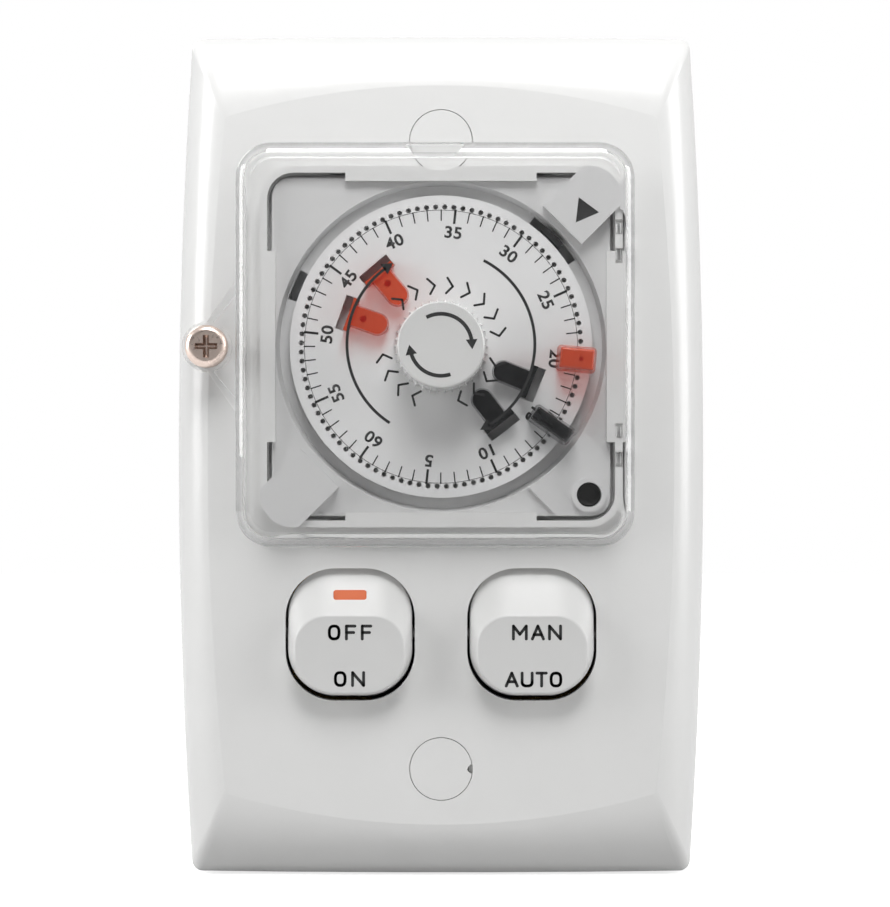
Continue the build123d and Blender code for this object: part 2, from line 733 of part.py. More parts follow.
for name, clock_deg, inward, outward, width, height in (
    ("on_tappet", on_clock, on_inward, on_outward, on_width, on_height),
    ("off_tappet", off_clock, off_inward, off_outward, off_width, off_height),
):
    with BuildPart() as tappet:
        with BuildSketch(spoke(clock_deg, tappet_base)):
            with Locations((0, plug_ring_r + (outward - inward) / 2)):
                RectangleRounded(width, inward + outward, 2 * tappet_edge)
        extrude(amount=height, taper=tappet_taper)
        fillet(tappet.faces().sort_by(Axis.Y)[0].edges(), tappet_edge)
        with BuildSketch(spoke(clock_deg, tappet_base + height)):
            with Locations((0, plug_ring_r)):
                Circle(tappet_pip_r)
        extrude(amount=-tappet_pip_depth, mode=Mode.SUBTRACT)
        with BuildSketch(spoke(clock_deg, tappet_base)):
            with Locations((0, plug_ring_r)):
                Circle(work_pin_r)
        extrude(amount=-work_pin_length)
    tappet.part.label = name
    export_step(tappet.part, f"parts/{name}.step")

spare_width = 3.1
spare_thickness = 1.9
spare_foot_width = 4.5
spare_foot_thickness = 0.7
spare_foot_height = 2.4
spare_foot_depth = 1.2
spare_dot_r = 0.45
spare_dot_reach = 3.5
spare_clock = {
    "spare_off_tappet_1": slot_angles[0],
    "spare_off_tappet_2": slot_angles[1],
    "spare_on_tappet_1": slot_angles[2],
    "spare_on_tappet_2": slot_angles[3],
}
spare_foot_r = slot_inner_r + seat_gap + spare_foot_thickness / 2

for name, clock_deg in spare_clock.items():
    with BuildPart() as tappet:
        with BuildSketch(spoke(clock_deg, tappet_base)):
            with Locations((0, (spare_inner_r + spare_width / 2 + spare_foot_r) / 2)):
                Rectangle(spare_width, spare_foot_r - spare_inner_r - spare_width / 2)
            with Locations((0, spare_inner_r + spare_width / 2)):
                Circle(spare_width / 2)
        extrude(amount=spare_thickness, taper=tappet_taper)
        with BuildSketch(spoke(clock_deg, tappet_base + spare_thickness)):
            with Locations((0, spare_inner_r + spare_dot_reach)):
                Circle(spare_dot_r)
        extrude(amount=-spare_thickness / 2, mode=Mode.SUBTRACT)
        with BuildSketch(spoke(clock_deg, tappet_base - spare_foot_depth)):
            with Locations((0, spare_foot_r)):
                Rectangle(spare_foot_width, spare_foot_thickness)
        extrude(amount=spare_foot_depth + spare_foot_height)
    tappet.part.label = name
    export_step(tappet.part, f"parts/{name}.step")

# Clear cover: a drafted box, hinged on the right, with a screw lug on the left
cover_corner_r = 5.0
cover_edge_r = 2.0
cover_draft = 1.5
cover_gap = 0.1
lug_flange = 1.8
lug_top = 12.2
lug_ring_r = 3.3
lug_hole_r = 1.65
lug_reach = 10.0
rib_width = 1.0
notch_wide = 8.9
notch_slope = 50.0
notch_depth, notch_height = 2.4, 0.9
notch_x = -0.8
cover_x = cover_left + cover_width / 2
cover_foot = plate_depth + cover_gap
cover_rise = cover_front - cover_foot

with BuildPart() as clear_cover:
    with BuildSketch(dial_plane(cover_foot)):
        with Locations((cover_x, 0)):
            RectangleRounded(cover_width, cover_height, cover_corner_r)
    extrude(amount=cover_rise, taper=cover_draft)
    fillet(clear_cover.faces().sort_by(Axis.Y)[0].edges(), cover_edge_r)
    with BuildSketch(dial_plane(cover_foot)):
        with Locations((cover_x, 0)):
            RectangleRounded(
                cover_width - 2 * cover_wall, cover_height - 2 * cover_wall, cover_corner_r - cover_wall
            )
    extrude(amount=cover_rise - cover_wall, taper=cover_draft, mode=Mode.SUBTRACT)
    # Screw lug: a triangular flange with ribs along its edges, and the ring under the screw's head
    with BuildSketch(dial_plane(cover_foot)) as flange:
        with BuildLine():
            Polyline(
                (cover_left + cover_wall / 2, lug_reach), (screw_x, lug_ring_r),
                (screw_x, -lug_ring_r), (cover_left + cover_wall / 2, -lug_reach), close=True,
            )
        make_face()
        with Locations((screw_x, 0)):
            Circle(lug_ring_r)
    extrude(amount=lug_flange)
    for side in (-1, 1):
        with BuildSketch(dial_plane(cover_foot)):
            with BuildLine():
                Polyline(
                    (cover_left + cover_wall / 2, side * lug_reach), (screw_x, side * lug_ring_r),
                    (screw_x, side * (lug_ring_r - rib_width)),
                    (cover_left + cover_wall / 2, side * (lug_reach - 2 * rib_width)), close=True,
                )
            make_face()
        extrude(amount=lug_top - cover_foot)
    with BuildSketch(dial_plane(cover_foot)):
        with Locations((screw_x, 0)):
            Circle(lug_ring_r)
    extrude(amount=lug_top - cover_foot)
    with BuildSketch(dial_plane(cover_foot)):
        with Locations((screw_x, 0)):
            Circle(lug_hole_r)
    extrude(amount=lug_top, mode=Mode.SUBTRACT)
    # Foot of the hinge side cut back to the hinge axis, with room for the plate's lugs
    with BuildSketch(dial_plane(cover_foot - overrun)):
        with Locations((axis_x + cover_width / 2 - 2 * running_gap - free_gap, 0)):
            Rectangle(cover_width, 2 * cover_height)
    extrude(amount=axis_height - cover_foot + overrun, mode=Mode.SUBTRACT)
    for place in hinge_places:
        with BuildSketch(dial_plane(axis_height)):
            with Locations((axis_x, place)):
                Rectangle(4 * hinge_r, lug_length + free_gap)
        extrude(amount=hinge_r + free_gap / 2, mode=Mode.SUBTRACT)
        for side in (-1, 1):
            start = place + side * (lug_length + free_gap) / 2 - (knuckle_length if side < 0 else 0)
            with BuildSketch(Plane.XY.offset(timer_z + start)):
                with Locations((axis_x, -axis_height)):
                    Circle(hinge_r)
            extrude(amount=knuckle_length)
            with BuildSketch(Plane.XY.offset(timer_z + start)):
                with Locations((axis_x, -axis_height)):
                    Circle(hinge_pin_r + running_gap)
            extrude(amount=knuckle_length, mode=Mode.SUBTRACT)
    # Finger notch in the top edge
    with BuildSketch(dial_plane(cover_front - notch_height)):
        with Locations((notch_x, cover_height / 2)):
            Trapezoid(notch_wide, notch_depth, notch_slope, rotation=180, align=(Align.CENTER, Align.MIN))
    extrude(amount=cover_front, mode=Mode.SUBTRACT)
clear_cover.part.label = "clear_cover"
export_step(clear_cover.part, "parts/clear_cover.step")

with BuildPart() as hinge_pins:
    pin_length = lug_length + free_gap + 2 * knuckle_length
    for place in hinge_places:
        with BuildSketch(Plane.XY.offset(timer_z + place - pin_length / 2)):
            with Locations((axis_x, -axis_height)):
                Circle(hinge_pin_r)
        extrude(amount=pin_length)
hinge_pins.part.label = "hinge_pins"
export_step(hinge_pins.part, "parts/hinge_pins.step")

# Cover screw and the brass insert that it turns into
head_r = 2.85
head_height = 2.1
head_edge_r = 0.9
shank_r = 1.25
shank_length = 6.6
recess_width = 0.8
recess_length = 3.0
recess_deep = 1.3
thread_r = 1.55
knurl_teeth = 16

with BuildPart() as cover_screw:
    with BuildSketch(front(lug_top + seat_gap)):
        with Locations((screw_x, timer_z)):
            Circle(head_r)
    extrude(amount=head_height)
    fillet(cover_screw.faces().sort_by(Axis.Y)[0].edges(), head_edge_r)
    with BuildSketch(front(lug_top + seat_gap)):
        with Locations((screw_x, timer_z)):
            Circle(shank_r)
    extrude(amount=-shank_length)
    with BuildSketch(front(lug_top + seat_gap + head_height)):
        with Locations((screw_x, timer_z)):
            Rectangle(recess_length, recess_width)
            Rectangle(recess_width, recess_length)
    extrude(amount=-recess_deep, taper=2 * tappet_taper, mode=Mode.SUBTRACT)
cover_screw.part.label = "cover_screw"
export_step(cover_screw.part, "parts/cover_screw.step")

with BuildPart() as cover_insert:
    with BuildSketch(front(plate_depth)):
        with Locations((screw_x, timer_z)):
            RegularPolygon(radius=insert_r - seat_gap, side_count=knurl_teeth)
            Circle(thread_r, mode=Mode.SUBTRACT)
    extrude(amount=-insert_length)
cover_insert.part.label = "cover_insert"
export_step(cover_insert.part, "parts/cover_insert.step")

# Rockers: drawn about their pivot, tipped back with the upper half pressed in
pivot_height = 5.0
pivot_r = 0.9
rocker_back = -1.6
rocker_shoulder = 3.7
rocker_wall = 1.2
rocker_hollow = 1.6
pad_proud = 3.1
pad_side_inset = 0.95
pad_end_inset = 0.15
pad_lip = 1.05
pad_top = 2.6
pad_corner_r = 4.2
slope_share = 0.62
slope_rise_share = 0.45
pad_edge_r = 0.4
stem_r = 2.5
stem_bore_r = 1.6
stem_end = -8.2
stem_bore_end = -3.0
marker_width, marker_height = 4.4, 1.4
marker_corner_r = 0.35
marker_depth = 0.9
marker_place = 5.3
marker_slope = 15.0
marker_proud = 0.9
marker_gap = 0.03
nose_r = 1.5
nose_end = -10.9
nose_back = -6.4
spring_wall = 0.5
end_reach = math.hypot(rocker_height / 2 + rocker_slot, plate_depth - pivot_height)
end_clear_r = end_reach - free_gap / 2
pad_under = plate_depth + pad_proud - pad_lip
rest_tilt = rocker_swing / 2
tilt_cos, tilt_sin = math.cos(math.radians(rest_tilt)), math.sin(math.radians(rest_tilt))


def rocker_plane(x, distance):
    """A plane across the rocker, this far in front of its pivot, at the rest tilt."""
    return Plane(
        origin=(x, -pivot_height - distance * tilt_cos, rocker_z + distance * tilt_sin),
        x_dir=(1, 0, 0), z_dir=(0, -tilt_cos, tilt_sin),
    )


def rocker_outline(side_inset, low_inset, high, high_r, low_r):
    """Rounded outline that is drawn in at its sides and foot and ends at this height above the pivot."""
    half_w = rocker_width / 2 - side_inset
    low = -rocker_height / 2 + low_inset
    with BuildSketch() as outline:
        with Locations((0, (low + high) / 2)):
            Rectangle(2 * half_w, high - low)
        fillet(outline.vertices().group_by(Axis.Y)[-1], high_r)
        fillet(outline.vertices().group_by(Axis.Y)[0], low_r)
    return outline.sketch_local


# Rocker switches behind the plate, one for each rocker
body_wall = 1.5
body_depth = 26.0
body_corner_r = 1.2
body_face = plate_depth - plate_wall - seat_gap
chamber_back = -8.8
pocket_back = -17.6
body_back = body_face - body_depth
lever_level = -6.45
contact_half = 7.2
contact_width = 4.6
contact_thickness = 0.8
contact_tilt = 8.0
contact_button_r = 1.4
contact_button_thickness = 0.7
terminal_pitch = 7.6
terminal_width = 11.0
terminal_shift = 3.0
terminal_height = 5.6
terminal_face = chamber_back
wire_r = 1.6
wire_depth = 7.0
clamp_screw_r = 1.4
clamp_screw_head_r = 2.1
clamp_screw_head = 1.6
clamp_screw_slot = 0.6
clamp_screw_level = -13.4
clamp_screw_length = 4.3
knife_thickness = 0.8
knife_gap = 0.15
fixed_contact_r = 1.3
fixed_contact_rise = 0.2
tilt_way_cos = math.cos(math.radians(contact_tilt))
tilt_way_sin = math.sin(math.radians(contact_tilt))


def contact_plane(x, distance):
    """A plane across the see-saw contact, this far in front of its pivot, with its lower end pushed in."""
    return Plane(
        origin=(x, -lever_level - distance * tilt_way_cos, rocker_z - distance * tilt_way_sin),
        x_dir=(1, 0, 0), z_dir=(0, -tilt_way_cos, -tilt_way_sin),
    )


for side_name, side in (("left", -1), ("right", 1)):
    x = side * rocker_pitch / 2
    pad_plane = Plane(
        origin=(x, -plate_depth - pad_proud, rocker_z), x_dir=(1, 0, 0), z_dir=(0, -1, 0)
    )
    marker_plane = Plane(
        origin=(x, -plate_depth - marker_proud, rocker_z + marker_place), x_dir=(1, 0, 0),
        z_dir=(0, -math.cos(math.radians(marker_slope)), math.sin(math.radians(marker_slope))),
    )
    with BuildPart() as rocker:
        with BuildSketch(rocker_plane(x, rocker_back)):
            add(rocker_outline(0, 0, rocker_height / 2, rocker_corner_r, rocker_corner_r))
        extrude(amount=rocker_shoulder - rocker_back)
        with BuildSketch(rocker_plane(x, rocker_shoulder)):
            add(rocker_outline(0, 0, rocker_height / 2, rocker_corner_r, rocker_corner_r))
        with BuildSketch(rocker_plane(x, rocker_shoulder + slope_rise_share * (pad_proud + pivot_r))):
            add(rocker_outline(
                slope_rise_share * pad_side_inset, slope_rise_share * pad_end_inset,
                rocker_height / 2 - slope_share * (rocker_height / 2 - pad_top),
                (rocker_corner_r + pad_corner_r) / 2, rocker_corner_r - slope_rise_share * pad_side_inset,
            ))
        with BuildSketch(pad_plane):
            add(rocker_outline(
                pad_side_inset, pad_end_inset, pad_top, pad_corner_r, rocker_corner_r - pad_side_inset
            ))
        loft()
        fillet(rocker.faces().sort_by(Axis.Y)[0].edges(), pad_edge_r)
        # Relief behind the pad's lower lip, turned about the pivot, so that the end passes the plate's edge
        with BuildSketch(Plane.YZ.offset(x - rocker_width / 2 - overrun)):
            with Locations((-(pad_under + pivot_height) / 2, rocker_z - rocker_height / 2)):
                Rectangle(pad_under - pivot_height, rocker_height)
            with Locations((-pivot_height, rocker_z)):
                Circle(end_clear_r, mode=Mode.SUBTRACT)
        extrude(amount=rocker_width + 2 * overrun, mode=Mode.SUBTRACT)
        with BuildSketch(rocker_plane(x, rocker_back)):
            add(rocker_outline(
                rocker_wall, rocker_wall, rocker_height / 2 - rocker_wall,
                rocker_corner_r - rocker_wall, rocker_corner_r - rocker_wall,
            ))
        extrude(amount=rocker_shoulder - rocker_hollow - rocker_back, mode=Mode.SUBTRACT)
        with BuildSketch(rocker_plane(x, rocker_shoulder - rocker_hollow)):
            Circle(stem_r)
        extrude(amount=stem_end - rocker_shoulder + rocker_hollow)
        with BuildSketch(rocker_plane(x, stem_end)):
            Circle(stem_bore_r)
        extrude(amount=stem_bore_end - stem_end, mode=Mode.SUBTRACT)
        if side < 0:
            with BuildSketch(marker_plane):
                RectangleRounded(
                    marker_width + 2 * marker_gap, marker_height + 2 * marker_gap, marker_corner_r + marker_gap
                )
            extrude(amount=marker_depth + marker_gap, both=True, mode=Mode.SUBTRACT)
        for end in (-1, 1):
            with BuildSketch(Plane.YZ.offset(x + end * (rocker_width / 2 - rocker_wall))):
                with Locations((-pivot_height, rocker_z)):
                    Circle(pivot_r)
            extrude(amount=end * (pivot_reach - rocker_width / 2 + rocker_wall))
    rocker.part.label = f"{side_name}_rocker"
    export_step(rocker.part, f"parts/{side_name}_rocker.step")

    with BuildPart() as plunger:
        with BuildSketch(rocker_plane(x, nose_end + nose_r)):
            Circle(nose_r)
        extrude(amount=nose_back - nose_end - nose_r)
        with BuildSketch(rocker_plane(x, nose_back)):
            Circle(nose_r - spring_wall - seat_gap)
        extrude(amount=(stem_bore_end - nose_back) / 2)
        with Locations(Location(rocker_plane(x, nose_end + nose_r))):
            Sphere(nose_r)
    plunger.part.label = f"{side_name}_plunger"
    export_step(plunger.part, f"parts/{side_name}_plunger.step")

    with BuildPart() as spring:
        with BuildSketch(rocker_plane(x, nose_back + seat_gap)):
            Circle(nose_r)
            Circle(nose_r - spring_wall, mode=Mode.SUBTRACT)
        extrude(amount=stem_bore_end - nose_back - 2 * seat_gap)
    spring.part.label = f"{side_name}_spring"
    export_step(spring.part, f"parts/{side_name}_spring.step")

    with BuildPart() as switch_body:
        with BuildSketch(front(body_back)):
            with Locations((x, rocker_z)):
                RectangleRounded(body_width, body_height, body_corner_r)
        extrude(amount=body_depth)
        with BuildSketch(front(chamber_back)):
            with Locations((x, rocker_z)):
                Rectangle(body_width - 2 * body_wall, body_height - 2 * body_wall)
        extrude(amount=body_face - chamber_back, mode=Mode.SUBTRACT)
        with BuildSketch(front(pocket_back)):
            with Locations((x + side * terminal_shift, rocker_z)):
                with GridLocations(0, terminal_pitch, 1, 3):
                    Rectangle(terminal_width + 2 * seat_gap, terminal_height + 2 * seat_gap)
        extrude(amount=chamber_back - pocket_back, mode=Mode.SUBTRACT)
        with BuildSketch(front(body_back)):
            with Locations((x + side * terminal_shift, rocker_z)):
                with GridLocations(0, terminal_pitch, 1, 3):
                    Circle(wire_r)
        extrude(amount=pocket_back - body_back, mode=Mode.SUBTRACT)
        with BuildSketch(Plane.YZ.offset(x + side * terminal_shift)):
            with Locations((-clamp_screw_level, rocker_z)):
                with GridLocations(0, terminal_pitch, 1, 3):
                    Circle(clamp_screw_head_r + running_gap)
        extrude(amount=side * body_width, mode=Mode.SUBTRACT)
        with BuildSketch(Plane.YZ.offset(x - pivot_reach - 2 * running_gap)):
            with Locations((-pivot_height, rocker_z)):
                Circle(pivot_r + running_gap)
        extrude(amount=2 * (pivot_reach + 2 * running_gap), mode=Mode.SUBTRACT)
    switch_body.part.label = f"{side_name}_switch_body"
    export_step(switch_body.part, f"parts/{side_name}_switch_body.step")

    with BuildPart() as contact_lever:
        with BuildSketch(contact_plane(x, -contact_thickness / 2)):
            RectangleRounded(contact_width, 2 * contact_half, contact_width / 4)
        extrude(amount=contact_thickness)
        with BuildSketch(contact_plane(x, -contact_thickness / 2)):
            with GridLocations(0, 2 * (contact_half - contact_button_r), 1, 2):
                Circle(contact_button_r)
        extrude(amount=-contact_button_thickness)
    contact_lever.part.label = f"{side_name}_contact_lever"
    export_step(contact_lever.part, f"parts/{side_name}_contact_lever.step")

    # Brass terminals: a block with a wire hole from behind and a clamping screw from the side
    for terminal_name, offsets in (("common_terminal", (0,)), ("way_terminals", (-terminal_pitch, terminal_pitch))):
        with BuildPart() as terminal:
            with BuildSketch(front(pocket_back + seat_gap)):
                with Locations(*[(x + side * terminal_shift, rocker_z + offset) for offset in offsets]):
                    Rectangle(terminal_width, terminal_height)
                    Circle(wire_r, mode=Mode.SUBTRACT)
            extrude(amount=wire_depth)
            with BuildSketch(front(pocket_back + seat_gap + wire_depth)):
                with Locations(*[(x + side * terminal_shift, rocker_z + offset) for offset in offsets]):
                    Rectangle(terminal_width, terminal_height)
            extrude(amount=terminal_face - pocket_back - seat_gap - wire_depth)
            # Fixed contacts on the way terminals, and the knife edge that the see-saw rocks on
            reach = contact_half - contact_button_r
            for offset in offsets:
                with BuildSketch(front(terminal_face)):
                    with Locations((x, rocker_z + (math.copysign(reach, offset) if offset else 0))):
                        if offset:
                            Circle(fixed_contact_r)
                        else:
                            Rectangle(contact_width, knife_thickness)
                knife_rise = lever_level - contact_thickness / 2 - knife_gap - terminal_face
                extrude(amount=fixed_contact_rise if offset else knife_rise)
            with BuildSketch(Plane.YZ.offset(x + side * terminal_shift)):
                with Locations(*[(-clamp_screw_level, rocker_z + offset) for offset in offsets]):
                    Circle(clamp_screw_r + running_gap)
            extrude(amount=side * terminal_width, mode=Mode.SUBTRACT)
        terminal.part.label = f"{side_name}_{terminal_name}"
        export_step(terminal.part, f"parts/{side_name}_{terminal_name}.step")

    block_end = terminal_shift + terminal_width / 2
    with BuildPart() as terminal_screws:
        for offset in (-terminal_pitch, 0, terminal_pitch):
            with BuildSketch(Plane.YZ.offset(x + side * (block_end + seat_gap))):
                with Locations((-clamp_screw_level, rocker_z + offset)):
                    Circle(clamp_screw_head_r)
            extrude(amount=side * clamp_screw_head)
            with BuildSketch(Plane.YZ.offset(x + side * (block_end + seat_gap + clamp_screw_head))):
                with Locations((-clamp_screw_level, rocker_z + offset)):
                    Rectangle(clamp_screw_slot, 2 * clamp_screw_head_r)
            extrude(amount=-side * clamp_screw_slot, mode=Mode.SUBTRACT)
            with BuildSketch(Plane.YZ.offset(x + side * (block_end + seat_gap))):
                with Locations((-clamp_screw_level, rocker_z + offset)):
                    Circle(clamp_screw_r)
            extrude(amount=-side * clamp_screw_length)
    terminal_screws.part.label = f"{side_name}_terminal_screws"
    export_step(terminal_screws.part, f"parts/{side_name}_terminal_screws.step")

    if side < 0:
        # Orange bar let into the upper slope of the left rocker
        with BuildPart() as on_marker:
            with BuildSketch(marker_plane):
                RectangleRounded(marker_width, marker_height, marker_corner_r)
            extrude(amount=-marker_depth)
        on_marker.part.label = "on_marker"
        export_step(on_marker.part, "parts/on_marker.step")
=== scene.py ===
import math

import bmesh
import bpy
from mathutils import Matrix, Vector


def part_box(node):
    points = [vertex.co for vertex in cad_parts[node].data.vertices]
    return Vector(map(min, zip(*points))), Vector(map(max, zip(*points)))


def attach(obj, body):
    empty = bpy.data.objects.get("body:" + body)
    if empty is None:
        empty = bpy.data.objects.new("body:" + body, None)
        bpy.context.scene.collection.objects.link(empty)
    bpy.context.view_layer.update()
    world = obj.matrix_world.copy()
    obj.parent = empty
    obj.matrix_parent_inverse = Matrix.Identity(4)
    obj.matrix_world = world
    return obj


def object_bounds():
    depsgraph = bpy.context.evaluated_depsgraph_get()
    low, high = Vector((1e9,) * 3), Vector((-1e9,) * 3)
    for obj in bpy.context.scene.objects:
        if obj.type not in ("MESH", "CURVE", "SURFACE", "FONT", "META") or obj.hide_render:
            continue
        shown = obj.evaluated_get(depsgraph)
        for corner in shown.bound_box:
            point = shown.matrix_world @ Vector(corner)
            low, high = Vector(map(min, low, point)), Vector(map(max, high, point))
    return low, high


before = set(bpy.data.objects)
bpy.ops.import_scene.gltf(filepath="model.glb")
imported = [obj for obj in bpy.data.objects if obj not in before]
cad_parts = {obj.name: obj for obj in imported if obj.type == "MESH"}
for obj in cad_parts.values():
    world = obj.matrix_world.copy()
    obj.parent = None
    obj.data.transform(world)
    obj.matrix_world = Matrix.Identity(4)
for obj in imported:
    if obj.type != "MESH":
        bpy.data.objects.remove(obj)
cad_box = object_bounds()
scene = bpy.context.scene
scene.view_settings.view_transform = "Standard"

# Camera: straight in front of the plate at arm's length, as in the photograph.
# The two fixing screws are 84 mm apart and 628 pixels apart there, which gives the focal length.
image_width = 890
fixing_pitch, fixing_pitch_px = 0.084, 628
plate_front_y = -0.009
camera_distance = 0.480
camera_x, camera_z = 0.000535, 0.0002
sensor = 36.0
focal_px = fixing_pitch_px / fixing_pitch * camera_distance

camera_data = bpy.data.cameras.new("front_camera")
camera_data.sensor_fit = "HORIZONTAL"
camera_data.sensor_width = sensor
camera_data.lens = sensor * focal_px / image_width
camera = bpy.data.objects.new("front_camera", camera_data)
camera.location = (camera_x, plate_front_y - camera_distance, camera_z)
camera.rotation_euler = (math.radians(90), 0, 0)
scene.collection.objects.link(camera)
scene.camera = camera


def linear(code):
    """A colour written as sRGB hex, as the linear values that Blender wants."""
    parts = [int(code[i:i + 2], 16) / 255 for i in (1, 3, 5)]
    return tuple(c / 12.92 if c <= 0.04045 else ((c + 0.055) / 1.055) ** 2.4 for c in parts) + (1.0,)


def add_node(material, kind, inputs=(), **settings):
    """Adds a node with its settings. An input is a plain value or another node's output."""
    node = material.node_tree.nodes.new(kind)
    for name, value in settings.items():
        setattr(node, name, value)
    for name, value in dict(inputs).items():
        if isinstance(value, bpy.types.NodeSocket):
            material.node_tree.links.new(value, node.inputs[name])
        else:
            node.inputs[name].default_value = value
    return node


def new_material(name):
    """An empty node material."""
    material = bpy.data.materials.new(name)
    material.use_nodes = True
    material.node_tree.nodes.clear()
    return material


# Studio: a pale paper floor under the part, and soft lamps above it, at each side, below it and behind it.
# The floor takes the part's shadow. Farther off it brightens to the white of the background, so no edge shows.
floor_gap = 0.0002
floor_z = cad_box[0][2] - floor_gap
floor_half_width = 1.2
floor_white, floor_bounce = "#F2F2F2", "#B8B8B8"
glow_near, glow_far, glow_start, glow_end = 0.72, 1.0, 0.12, 0.45

floor_paper = new_material("white_paper_floor")
floor_path = add_node(floor_paper, "ShaderNodeLightPath")
floor_place = add_node(floor_paper, "ShaderNodeTexCoord").outputs["Object"]
away = add_node(floor_paper, "ShaderNodeVectorMath", {0: floor_place}, operation="LENGTH").outputs["Value"]
glow_level = add_node(floor_paper, "ShaderNodeMapRange", {
    "Value": away, "From Min": glow_start, "From Max": glow_end, "To Min": glow_near, "To Max": glow_far,
}).outputs["Result"]
floor_mirrored = add_node(floor_paper, "ShaderNodeMath", {
    0: floor_path.outputs["Is Glossy Ray"], 1: floor_path.outputs["Is Transmission Ray"],
}, operation="MAXIMUM").outputs[0]
floor_seen = add_node(floor_paper, "ShaderNodeMath", {
    0: floor_path.outputs["Is Camera Ray"], 1: floor_mirrored,
}, operation="MAXIMUM").outputs[0]
glow_strength = add_node(floor_paper, "ShaderNodeMath", {
    0: floor_seen, 1: glow_level,
}, operation="MULTIPLY").outputs[0]
glow = add_node(floor_paper, "ShaderNodeEmission", {"Color": (1, 1, 1, 1), "Strength": glow_strength})
floor_shade = add_node(floor_paper, "ShaderNodeMix", {
    "Factor": floor_path.outputs["Is Camera Ray"], 6: linear(floor_bounce), 7: linear(floor_white),
}, data_type="RGBA").outputs[2]
matte = add_node(floor_paper, "ShaderNodeBsdfDiffuse", {"Color": floor_shade})
lit_paper = add_node(floor_paper, "ShaderNodeAddShader", {0: glow.outputs[0], 1: matte.outputs[0]})
add_node(floor_paper, "ShaderNodeOutputMaterial", {"Surface": lit_paper.outputs[0]})

floor_mesh = bmesh.new()
bmesh.ops.create_grid(floor_mesh, x_segments=1, y_segments=1, size=floor_half_width)
bmesh.ops.translate(floor_mesh, vec=(0, 0, floor_z), verts=floor_mesh.verts)
floor_data = bpy.data.meshes.new("floor")
floor_mesh.to_mesh(floor_data)
floor_mesh.free()
floor_data.materials.append(floor_paper)
floor = bpy.data.objects.new("floor", floor_data)
scene.collection.objects.link(floor)

lamp_target = Vector((0, 0, 0))
for lamp_name, lamp_place, lamp_size, lamp_watts in (
    ("key_lamp", (0.01, -0.19, 0.26), 0.16, 0.80),
    ("left_lamp", (-0.42, -0.11, 0.12), 0.25, 1.20),
    ("right_lamp", (0.42, -0.11, 0.10), 0.25, 1.00),
    ("low_lamp", (0.10, -0.26, -0.28), 0.20, 0.14),
    ("back_lamp", (-0.22, 0.42, 0.28), 0.25, 0.60),
):
    lamp_data = bpy.data.lights.new(lamp_name, "AREA")
    lamp_data.size = lamp_size
    lamp_data.energy = lamp_watts
    lamp = bpy.data.objects.new(lamp_name, lamp_data)
    lamp.location = lamp_place
    lamp.rotation_euler = (lamp_target - lamp.location).to_track_quat("-Z", "Y").to_euler()
    scene.collection.objects.link(lamp)

# Around them the room is dim. The camera sees it white. Metal and clear plastic mirror its pale walls beside and
# behind the part, which light nothing matt. In front, where the camera stands, the room stays dark to them.
room_light, wall_glow = 0.10, 0.75
front_end, side_start = -0.92, -0.35
world = bpy.data.worlds.new("studio")
world.use_nodes = True
world.node_tree.nodes.clear()
room_path = add_node(world, "ShaderNodeLightPath")
heading = add_node(world, "ShaderNodeTexCoord").outputs["Generated"]
forward = add_node(world, "ShaderNodeSeparateXYZ", {"Vector": heading}).outputs["Y"]
aside = add_node(world, "ShaderNodeMapRange", {
    "Value": forward, "From Min": front_end, "From Max": side_start,
}).outputs["Result"]
room_mirrored = add_node(world, "ShaderNodeMath", {
    0: room_path.outputs["Is Glossy Ray"], 1: room_path.outputs["Is Transmission Ray"],
}, operation="MAXIMUM").outputs[0]
room_seen = add_node(world, "ShaderNodeMath", {0: room_mirrored, 1: aside}, operation="MULTIPLY").outputs[0]
unscattered = add_node(world, "ShaderNodeMath", {
    0: 1.0, 1: room_path.outputs["Diffuse Depth"],
}, operation="SUBTRACT", use_clamp=True).outputs[0]
walls = add_node(world, "ShaderNodeMath", {0: room_seen, 1: unscattered}, operation="MULTIPLY").outputs[0]
room_level = add_node(world, "ShaderNodeMath", {
    0: walls, 1: wall_glow, 2: room_light,
}, operation="MULTIPLY_ADD").outputs[0]
room_strength = add_node(world, "ShaderNodeMath", {
    0: room_level, 1: room_path.outputs["Is Camera Ray"],
}, operation="MAXIMUM").outputs[0]
room = add_node(world, "ShaderNodeBackground", {"Color": (1, 1, 1, 1), "Strength": room_strength})
add_node(world, "ShaderNodeOutputWorld", {"Surface": room.outputs[0]})
scene.world = world


def dress(names, material):
    """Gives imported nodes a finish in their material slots."""
    for name in names:
        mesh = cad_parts[name].data
        mesh.materials.clear()
        mesh.materials.append(material)


